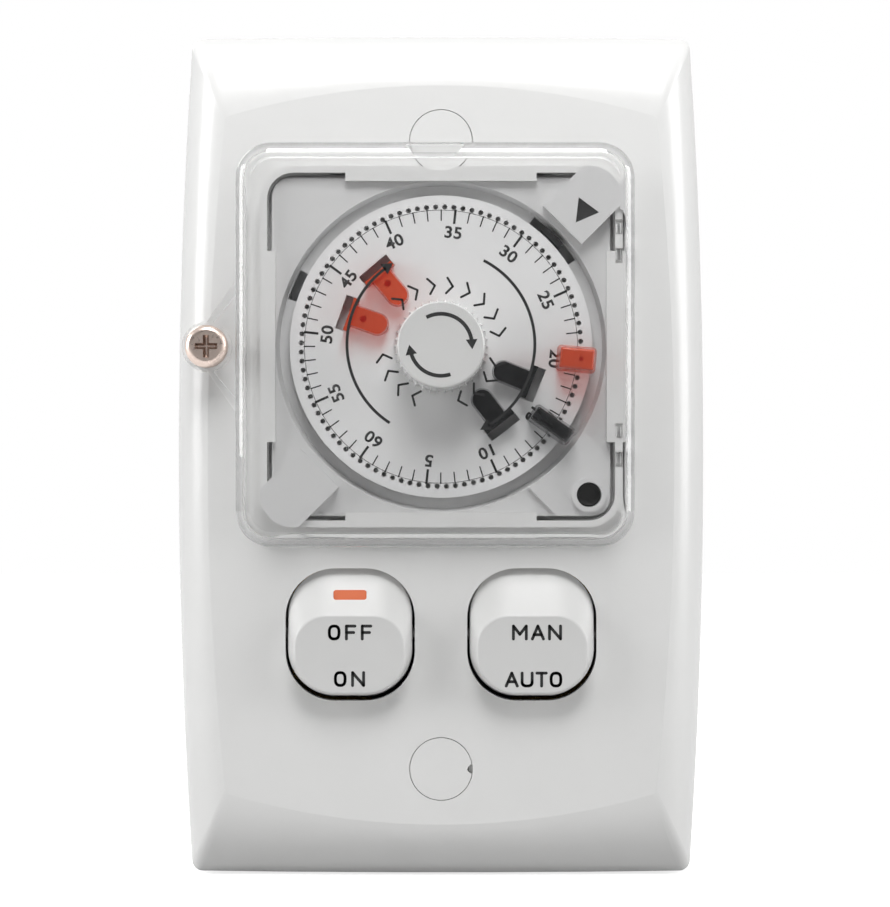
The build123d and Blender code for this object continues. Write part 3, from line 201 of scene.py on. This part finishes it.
def moulded(name, colour, tone, roughness, skin_mm, skin_depth, cloud_mm=9.0):
    """Moulded plastic: one colour that clouds faintly into a second, and the fine skin of the mould."""
    gloss_low, gloss_high = 0.85 * roughness, 1.2 * roughness
    skin_height = 0.00002
    material = new_material(name)
    place = add_node(material, "ShaderNodeTexCoord").outputs["Object"]
    cloud = add_node(material, "ShaderNodeTexNoise", {"Vector": place, "Scale": 1000 / cloud_mm, "Detail": 3.0})
    shade = add_node(material, "ShaderNodeMix", {
        "Factor": cloud.outputs["Fac"], 6: linear(colour), 7: linear(tone),
    }, data_type="RGBA")
    skin = add_node(material, "ShaderNodeTexNoise", {"Vector": place, "Scale": 1000 / skin_mm, "Detail": 2.0})
    bump = add_node(material, "ShaderNodeBump", {
        "Height": skin.outputs["Fac"], "Strength": skin_depth, "Distance": skin_height,
    })
    gloss = add_node(material, "ShaderNodeMapRange", {
        "Value": cloud.outputs["Fac"], "To Min": gloss_low, "To Max": gloss_high,
    })
    surface = add_node(material, "ShaderNodeBsdfPrincipled", {
        "Base Color": shade.outputs[2], "Roughness": gloss.outputs["Result"], "Normal": bump.outputs["Normal"],
        "IOR": 1.5,
    })
    add_node(material, "ShaderNodeOutputMaterial", {"Surface": surface.outputs[0]})
    return material


# Wall plate and screw caps: one white urea moulding with sloping, bowed borders, and two snap-in caps.
# Urea is hard and glossy, so its borders take long soft highlights. The dial's knob is moulded from it too.
white_urea = moulded("white_urea_moulding", "#E6E6E5", "#E1E1E0", 0.24, 0.8, 0.05)
dress(["wall_plate", "screw_cap_top", "screw_cap_bottom"], white_urea)


# Timer housing: the sunk front, the two snapped-on corner clamps and the deep case behind the plate.
# Polycarbonate is a little greyer and duller than the plate, with a fine spark-eroded grain.
timer_plastic = moulded("grey_white_polycarbonate", "#D8D8D8", "#D3D3D3", 0.36, 0.45, 0.10)
dress(["timer_front", "pointer_clamp", "blank_clamp", "timer_case"], timer_plastic)


# Printing ink: all the black marks are pad-printed, a fiftieth of a millimetre thick and slightly raised.
# Each print is drawn flat, clockwise angles from its top, and then stood on the face that carries it.
ink_thickness = 0.00002
ink_overlap = 0.00001
pad_ink = moulded("black_pad_printing_ink", "#121213", "#19191A", 0.45, 0.3, 0.12, cloud_mm=2.0)


def clock_point(radius, clock_deg):
    """A point on a clock face, at this radius and this many degrees clockwise from the top."""
    turn = math.radians(clock_deg)
    return Vector((radius * math.sin(turn), radius * math.cos(turn), 0))


def stroke(sheet, start, end, width, facets=16):
    """Draws a straight stroke with round ends: a disc whose far half is moved to the stroke's end."""
    along = end - start
    half_step = Matrix.Rotation(math.pi / facets, 4, "Z")
    disc = bmesh.ops.create_circle(
        sheet, cap_ends=True, segments=facets, radius=width / 2, matrix=half_step,
    )["verts"]
    bmesh.ops.translate(sheet, vec=(along.length, 0, 0), verts=[v for v in disc if v.co.x > 0])
    lay = Matrix.Translation(start) @ Matrix.Rotation(math.atan2(along.y, along.x), 4, "Z")
    bmesh.ops.transform(sheet, matrix=lay, verts=disc)


def band(sheet, radius, width, clock_from, clock_to, steps):
    """Draws an arc of even width, clockwise from one angle to the other."""
    rim = [sheet.verts.new(clock_point(r, clock_from)) for r in (radius - width / 2, radius + width / 2)]
    across = sheet.edges.new(rim)
    full = clock_to - clock_from >= 360
    bmesh.ops.spin(
        sheet, geom=rim + [across], cent=(0, 0, 0), axis=(0, 0, 1), angle=-math.radians(clock_to - clock_from),
        steps=steps, use_merge=full,
    )


def triangle(sheet, centre, reach, clock_deg):
    """Draws a filled triangle that points to this clock angle."""
    tips = bmesh.ops.create_circle(sheet, cap_ends=True, segments=3, radius=reach)["verts"]
    longest = max(tips, key=lambda v: v.co.y)
    turn = Matrix.Rotation(math.atan2(longest.co.x, longest.co.y) - math.radians(clock_deg), 4, "Z")
    bmesh.ops.transform(sheet, matrix=Matrix.Translation(centre) @ turn, verts=tips)


def place_print(name, sheet, x, face_y, z, body):
    """Thickens a flat drawing into ink and stands it on a face that looks forward."""
    lifted = bmesh.ops.extrude_face_region(sheet, geom=sheet.faces[:])["geom"]
    bmesh.ops.translate(
        sheet, vec=(0, 0, ink_thickness), verts=[v for v in lifted if isinstance(v, bmesh.types.BMVert)]
    )
    bmesh.ops.recalc_face_normals(sheet, faces=sheet.faces)
    stand = Matrix.Translation((x, face_y + ink_overlap, z)) @ Matrix.Rotation(math.radians(90), 4, "X")
    bmesh.ops.transform(sheet, matrix=stand, verts=sheet.verts)
    data = bpy.data.meshes.new(name)
    sheet.to_mesh(data)
    sheet.free()
    data.materials.append(pad_ink)
    printed = bpy.data.objects.new(name, data)
    scene.collection.objects.link(printed)
    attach(printed, body)


# Hole plug: a black piece at the bottom of the blind hole in the lower right land, there to paint the hole's
# shade.
# It has a chamfered rim and a shallow dish. The hole's own shade makes it look deeper than it is.
hole_x, hole_z, hole_bottom_y = 0.019671, -0.005271, -0.0088
plug_radius, plug_height, plug_chamfer, plug_dish, plug_dish_depth = 0.00162, 0.0014, 0.0002, 0.0005, 0.0003
# Its near-black colour is painted shade: it darkens the bottom of the hole.
hole_shade_black = moulded("black_painted_hole_shade", "#0E0E0E", "#141414", 0.60, 0.3, 0.15, cloud_mm=1.0)

plug_sheet = bmesh.new()
bmesh.ops.create_circle(plug_sheet, cap_ends=True, segments=48, radius=plug_radius)
plug_top = bmesh.ops.extrude_face_region(plug_sheet, geom=plug_sheet.faces[:])["geom"]
bmesh.ops.translate(
    plug_sheet, vec=(0, 0, plug_height), verts=[v for v in plug_top if isinstance(v, bmesh.types.BMVert)]
)
plug_rim = [e for e in plug_sheet.edges if all(v.co.z > plug_height / 2 for v in e.verts)]
bmesh.ops.bevel(
    plug_sheet, geom=plug_rim, offset=plug_chamfer, segments=3, profile=0.5, affect="EDGES", material=-1,
)
plug_level = plug_height - plug_chamfer / 100
plug_face = [f for f in plug_sheet.faces if min(v.co.z for v in f.verts) > plug_level]
bmesh.ops.inset_region(plug_sheet, faces=plug_face, thickness=plug_dish, depth=-plug_dish_depth)
bmesh.ops.recalc_face_normals(plug_sheet, faces=plug_sheet.faces)
plug_stand = Matrix.Translation((hole_x, hole_bottom_y, hole_z)) @ Matrix.Rotation(math.radians(90), 4, "X")
bmesh.ops.transform(plug_sheet, matrix=plug_stand, verts=plug_sheet.verts)
plug_data = bpy.data.meshes.new("hole_shade_plug")
plug_sheet.to_mesh(plug_data)
plug_sheet.free()
plug_data.materials.append(hole_shade_black)
hole_shade_plug = bpy.data.objects.new("hole_shade_plug", plug_data)
scene.collection.objects.link(hole_shade_plug)
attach(hole_shade_plug, "housing")


# Time pointer: a black triangle printed on the upper right clamp, beside the trip window.
# It has equal sides and points to the right.
disc_low, disc_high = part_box("dial_disc")
dial_x, dial_z = (disc_low.x + disc_high.x) / 2, (disc_low.z + disc_high.z) / 2
pointer_radius, pointer_clock, pointer_reach, pointer_aim = 0.0262, 46.6, 0.00195, 96.6

pointer_sheet = bmesh.new()
triangle(pointer_sheet, clock_point(pointer_radius, pointer_clock), pointer_reach, pointer_aim)
place_print("pointer_print", pointer_sheet, dial_x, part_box("pointer_clamp")[0].y, dial_z, "housing")


# Dial: a white acetal disc that turns once in an hour, with a ring of holes for the tappets and a fluted knob.
# Its face is printed with a circle, sixty minute marks and the minutes in fives, tops outwards.
dial_acetal = moulded("white_acetal_dial", "#EAEAEA", "#E5E5E5", 0.34, 0.5, 0.08)
dress(["dial_disc"], dial_acetal)
dress(["dial_knob"], white_urea)

dial_phase, minute_turn = 6.1, 6
scale_radius, scale_line = 0.01815, 0.00007
mark_inner, fifth_inner = 0.0168, 0.01655
mark_width, fifth_width = 0.00024, 0.00046
scale_sheet = bmesh.new()
band(scale_sheet, scale_radius, scale_line, 0, 360, steps=120)
for minute in range(60):
    fifth = minute % 5 == 0
    clock = minute * minute_turn + dial_phase
    inner = fifth_inner if fifth else mark_inner
    width = fifth_width if fifth else mark_width
    stroke(scale_sheet, clock_point(inner, clock), clock_point(scale_radius, clock), width, facets=4)
place_print("dial_scale", scale_sheet, dial_x, disc_low.y, dial_z, "dial")

number_radius, number_height, number_stretch = 0.01525, 0.00162, 1.10
digit_spacing, digit_boldness = 1.05, 0.026
merge_distance = 0.000001
top_number = 35
number_sheet = bmesh.new()
for number in range(5, 65, 5):
    lettering = bpy.data.curves.new("dial_number", "FONT")
    lettering.body = str(number)
    lettering.align_x = "CENTER"
    lettering.align_y = "CENTER"
    lettering.size = 1
    lettering.space_character = digit_spacing
    lettering.offset = digit_boldness
    writer = bpy.data.objects.new("dial_number", lettering)
    scene.collection.objects.link(writer)
    bpy.context.view_layer.update()
    digits = bpy.data.meshes.new_from_object(writer.evaluated_get(bpy.context.evaluated_depsgraph_get()))
    bpy.data.objects.remove(writer)
    heights = [v.co.y for v in digits.vertices]
    tall = max(heights) - min(heights)
    middle = (max(heights) + min(heights)) / 2
    clock = (top_number - number) * minute_turn + dial_phase
    digits.transform(
        Matrix.Translation(clock_point(number_radius, clock)) @ Matrix.Rotation(-math.radians(clock), 4, "Z")
        @ Matrix.Diagonal((number_stretch, 1, 1, 1)) @ Matrix.Scale(number_height / tall, 4)
        @ Matrix.Translation((0, -middle, 0))
    )
    number_sheet.from_mesh(digits)
    bpy.data.meshes.remove(digits)
bmesh.ops.remove_doubles(number_sheet, verts=number_sheet.verts, dist=merge_distance)
place_print("dial_numbers", number_sheet, dial_x, disc_low.y, dial_z, "dial")

# Knob arrows: two arrows chase each other clockwise on the knob's top.
turn_radius, turn_width, turn_head, turn_head_ahead = 0.00405, 0.0005, 0.00088, 4
knob_arrows = ((-28, 82), (162, 254))
knob_sheet = bmesh.new()
for arrow_from, arrow_to in knob_arrows:
    band(knob_sheet, turn_radius, turn_width, arrow_from, arrow_to, steps=24)
    head_clock = arrow_to + turn_head_ahead
    triangle(knob_sheet, clock_point(turn_radius, head_clock), turn_head, head_clock + 90)
place_print("knob_arrows", knob_sheet, dial_x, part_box("dial_knob")[0].y, dial_z, "dial")


def tinted(name, colour, tone, roughness, clearness, ior, shadow, dye_mm=2.5):
    """Clear or dyed plastic. Light on its way to or from matt things goes straight through, in one colour."""
    gloss_low, gloss_high = 0.7 * roughness, 1.3 * roughness
    material = new_material(name)
    place = add_node(material, "ShaderNodeTexCoord").outputs["Object"]
    cloud = add_node(material, "ShaderNodeTexNoise", {"Vector": place, "Scale": 1000 / dye_mm, "Detail": 2.0})
    shade = add_node(material, "ShaderNodeMix", {
        "Factor": cloud.outputs["Fac"], 6: linear(colour), 7: linear(tone),
    }, data_type="RGBA")
    gloss = add_node(material, "ShaderNodeMapRange", {
        "Value": cloud.outputs["Fac"], "To Min": gloss_low, "To Max": gloss_high,
    })
    surface = add_node(material, "ShaderNodeBsdfPrincipled", {
        "Base Color": shade.outputs[2], "Roughness": gloss.outputs["Result"], "IOR": ior,
        "Transmission Weight": clearness,
    })
    clear = add_node(material, "ShaderNodeBsdfTransparent", {"Color": linear(shadow)})
    path = add_node(material, "ShaderNodeLightPath")
    lighting = add_node(material, "ShaderNodeMath", {
        0: path.outputs["Is Shadow Ray"], 1: path.outputs["Is Diffuse Ray"],
    }, operation="MAXIMUM")
    plastic = add_node(material, "ShaderNodeMixShader", {
        0: lighting.outputs[0], 1: surface.outputs[0], 2: clear.outputs[0],
    })
    add_node(material, "ShaderNodeOutputMaterial", {"Surface": plastic.outputs[0]})
    return material


# Tappets: small plugs pushed into the dial's holes, orange ones to switch on and smoky ones to switch off.
# Acrylic lets light through: the orange ones glow at their edges, and the dial shows through the smoky ones.
acrylic_ior = 1.49
orange_acrylic = tinted("orange_tinted_acrylic", "#D95E3E", "#CD5133", 0.22, 0.30, acrylic_ior, "#E07A5A")
smoke_acrylic = tinted("smoke_tinted_acrylic", "#6E6F71", "#646568", 0.10, 0.94, acrylic_ior, "#8A8B8D")
dress(["on_tappet", "spare_on_tappet_1", "spare_on_tappet_2"], orange_acrylic)
dress(["off_tappet", "spare_off_tappet_1", "spare_off_tappet_2"], smoke_acrylic)


# Works behind the dial: gear, trip lever and snap switch in black acetal, shaft, pins and motor in steel.
# The motor and its plate are zinc-plated sheet with upright rolling marks. The four terminals are brass.
black_acetal = moulded("black_acetal", "#19191A", "#202022", 0.40, 0.4, 0.10)
dress(["dial_gear", "trip_lever", "timer_switch"], black_acetal)
orange_acetal = moulded("orange_acetal_button", "#D2603A", "#C95732", 0.40, 0.4, 0.08)
dress(["timer_switch_button"], orange_acetal)


def worked_metal(name, colour, tone, roughness, mark_mm, stretch, depth):
    """Metal with fine marks drawn out along one direction, as rolling, drawing or turning leaves them."""
    gloss_low, gloss_high = 0.7 * roughness, 1.3 * roughness
    mark_height = 0.00003
    material = new_material(name)
    place = add_node(material, "ShaderNodeTexCoord").outputs["Object"]
    drawn = add_node(material, "ShaderNodeMapping", {"Vector": place, "Scale": stretch}).outputs["Vector"]
    marks = add_node(material, "ShaderNodeTexNoise", {"Vector": drawn, "Scale": 1000 / mark_mm, "Detail": 3.0})
    shade = add_node(material, "ShaderNodeMix", {
        "Factor": marks.outputs["Fac"], 6: linear(colour), 7: linear(tone),
    }, data_type="RGBA")
    gloss = add_node(material, "ShaderNodeMapRange", {
        "Value": marks.outputs["Fac"], "To Min": gloss_low, "To Max": gloss_high,
    })
    bump = add_node(material, "ShaderNodeBump", {
        "Height": marks.outputs["Fac"], "Strength": depth, "Distance": mark_height,
    })
    surface = add_node(material, "ShaderNodeBsdfPrincipled", {
        "Base Color": shade.outputs[2], "Metallic": 1.0, "Roughness": gloss.outputs["Result"],
        "Normal": bump.outputs["Normal"],
    })
    add_node(material, "ShaderNodeOutputMaterial", {"Surface": surface.outputs[0]})
    return material


zinc_sheet = worked_metal("zinc_plated_steel_sheet", "#B9BBBC", "#A6A9AB", 0.34, 0.5, (1, 1, 0.12), 0.15)
ground_steel = worked_metal("ground_steel", "#C6C7C9", "#B4B6B8", 0.22, 0.2, (1, 0.1, 1), 0.10)
dress(["motor_plate", "motor"], zinc_sheet)
dress(["dial_shaft", "motor_pinion", "lever_pin", "hinge_pins"], ground_steel)

stamped_brass = worked_metal("stamped_brass", "#D3B26B", "#C4A15B", 0.28, 0.4, (1, 0.15, 1), 0.12)
dress(["timer_terminals"], stamped_brass)


# Cover: a box moulded from clear polycarbonate, hinged at its right and held by one screw at its left.
# Its pane is polished in the mould. Its walls are satin behind the pane, so they blur what lies under them.
pane_roughness, wall_roughness, polycarbonate_ior = 0.02, 0.30, 1.58
clear_polycarbonate = tinted(
    "clear_polycarbonate", "#FBFBFB", "#F8F8F8", pane_roughness, 1.0, polycarbonate_ior, "#F9F9F9",
)
pane_front_y, pane_thickness, satin_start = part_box("clear_cover")[0].y, 0.0014, 0.001
pane_back_y = pane_front_y + pane_thickness
cover_place = add_node(clear_polycarbonate, "ShaderNodeTexCoord").outputs["Object"]
depth = add_node(clear_polycarbonate, "ShaderNodeSeparateXYZ", {"Vector": cover_place}).outputs["Y"]
satin = add_node(clear_polycarbonate, "ShaderNodeMapRange", {
    "Value": depth, "From Min": pane_back_y, "From Max": pane_back_y + satin_start,
    "To Min": pane_roughness, "To Max": wall_roughness,
})
for node in clear_polycarbonate.node_tree.nodes:
    if node.type == "BSDF_PRINCIPLED":
        clear_polycarbonate.node_tree.links.new(satin.outputs["Result"], node.inputs["Roughness"])
dress(["clear_cover"], clear_polycarbonate)

# Its print: two long arrows round the knob and rows of small chevrons between them, all pointing clockwise.
cover_radius, cover_line, cover_head, cover_head_ahead = 0.0122, 0.00038, 0.00095, 1
cover_arrows = ((27, 150), (213, 324))
chevron_radius, chevron_tall, chevron_deep, chevron_line = 0.00765, 0.0020, 0.0008, 0.00030
chevron_ahead = math.degrees(chevron_deep / chevron_radius)
chevron_rows = ((-47, 76, 8), (106, 157, 4), (203, 254, 4))
cover_sheet = bmesh.new()
for arrow_from, arrow_to in cover_arrows:
    band(cover_sheet, cover_radius, cover_line, arrow_from, arrow_to, steps=48)
    head_clock = arrow_to + cover_head_ahead
    triangle(cover_sheet, clock_point(cover_radius, head_clock), cover_head, head_clock + 90)
for row_from, row_to, count in chevron_rows:
    for step in range(count):
        clock = row_from + (row_to - row_from) * step / (count - 1)
        point = clock_point(chevron_radius, clock + chevron_ahead)
        for end_radius in (chevron_radius - chevron_tall / 2, chevron_radius + chevron_tall / 2):
            stroke(cover_sheet, clock_point(end_radius, clock), point, chevron_line)
place_print("cover_print", cover_sheet, dial_x, pane_front_y, dial_z, "cover")

# Cover screw and its insert: a nickel-plated pan head with a cross recess, in a knurled brass insert.
# Nickel is warmer than zinc. Its plating has a fine grain that spreads the lamps into a soft shine.
bright_nickel = worked_metal("bright_nickel_plate", "#E0D0C7", "#CFBCB1", 0.30, 0.35, (1, 0.3, 1), 0.10)
dress(["cover_screw"], bright_nickel)
dress(["cover_insert"], stamped_brass)


# Rockers: the plate's white urea, painted a shade greyer as painted shade, each with a printed pad, and one with
# an orange on-marker.
# The letters are round-ended strokes of even width, drawn on a grid one letter high.
# The grey is painted shade that darkens the rockers' lit slopes and pads. The rockers are of the same urea as
# the plate.
rocker_urea = moulded("rocker_urea_with_painted_shade", "#D9D9D8", "#D4D4D3", 0.30, 0.8, 0.05)
dress(["left_rocker", "right_rocker"], rocker_urea)
marker_orange = moulded("orange_pigmented_urea", "#E27A52", "#DC7149", 0.30, 0.5, 0.08)
dress(["on_marker"], marker_orange)


def oval(width, turns_from, turns_to, low, high, squareness=0.75, steps=20):
    """Points round an upright rounded letter, by quarter turns from its right side, anticlockwise."""
    half_w, half_h = width / 2, (high - low) / 2
    points = []
    for step in range(steps + 1):
        turn = (turns_from + (turns_to - turns_from) * step / steps) * math.pi / 2
        across = math.copysign(abs(math.cos(turn)) ** squareness, math.cos(turn))
        up = math.copysign(abs(math.sin(turn)) ** squareness, math.sin(turn))
        points.append((half_w + half_w * across, low + half_h + half_h * up))
    return points


bowl = 0.35
letter_width_shares = {"A": 0.86, "F": 0.66, "M": 1.00, "N": 0.86, "O": 0.76, "T": 0.72, "U": 0.78}
letter_strokes = {
    "A": [[(0, 0), (0.43, 1), (0.86, 0)], [(0.14, 0.33), (0.72, 0.33)]],
    "F": [[(0, 0), (0, 1), (0.66, 1)], [(0, 0.50), (0.56, 0.50)]],
    "M": [[(0, 0), (0, 1), (0.50, 0.36), (1.00, 1), (1.00, 0)]],
    "N": [[(0, 0), (0, 1), (0.86, 0), (0.86, 1)]],
    "O": [oval(0.76, 0, 4, 0, 1)],
    "T": [[(0.36, 0), (0.36, 1)], [(0, 1), (0.72, 1)]],
    "U": [[(0, 1), (0, bowl)], oval(0.78, 2, 4, 0, 2 * bowl), [(0.78, bowl), (0.78, 1)]],
}
letter_height, letter_line = 0.00171, 0.00040
rocker_words = (
    ("left_rocker", "OFF", -0.01209, -0.02359, 0.00551),
    ("left_rocker", "ON", -0.01216, -0.02977, 0.00376),
    ("right_rocker", "MAN", 0.01276, -0.02359, 0.00626),
    ("right_rocker", "AUTO", 0.01230, -0.02984, 0.00726),
)
for rocker_name, word, word_x, word_z, word_width in rocker_words:
    word_sheet = bmesh.new()
    drawn_width = sum(letter_width_shares[letter] for letter in word) * letter_height
    gap = (word_width - drawn_width) / (len(word) - 1)
    left = -word_width / 2
    for letter in word:
        for run in letter_strokes[letter]:
            points = [Vector((left + px * letter_height, (py - 0.5) * letter_height, 0)) for px, py in run]
            for start, end in zip(points, points[1:]):
                stroke(word_sheet, start, end, letter_line)
        left += letter_width_shares[letter] * letter_height + gap
    print_name = word.lower() + "_print"
    place_print(print_name, word_sheet, word_x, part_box(rocker_name)[0].y, word_z, rocker_name)


# Rocker switches behind the plate: nylon bodies with acetal plungers, steel springs and see-saw brass contacts.
# Nylon is duller than urea. The clamp screws are zinc-plated, with a cut slot.
white_nylon = moulded("white_nylon", "#DADAD7", "#D3D3CF", 0.48, 0.6, 0.12)
natural_acetal = moulded("natural_acetal", "#E4E1D8", "#DAD6CB", 0.35, 0.5, 0.08)
spring_steel = worked_metal("spring_steel_wire", "#A9ABAE", "#96989B", 0.28, 0.3, (1, 0.2, 1), 0.12)
dress(["left_switch_body", "right_switch_body"], white_nylon)
for side_name in ("left", "right"):
    dress([side_name + "_plunger"], natural_acetal)
    dress([side_name + "_spring"], spring_steel)
    dress([side_name + "_terminal_screws"], zinc_sheet)
    for brass_name in ("_contact_lever", "_common_terminal", "_way_terminals"):
        dress([side_name + brass_name], stamped_brass)
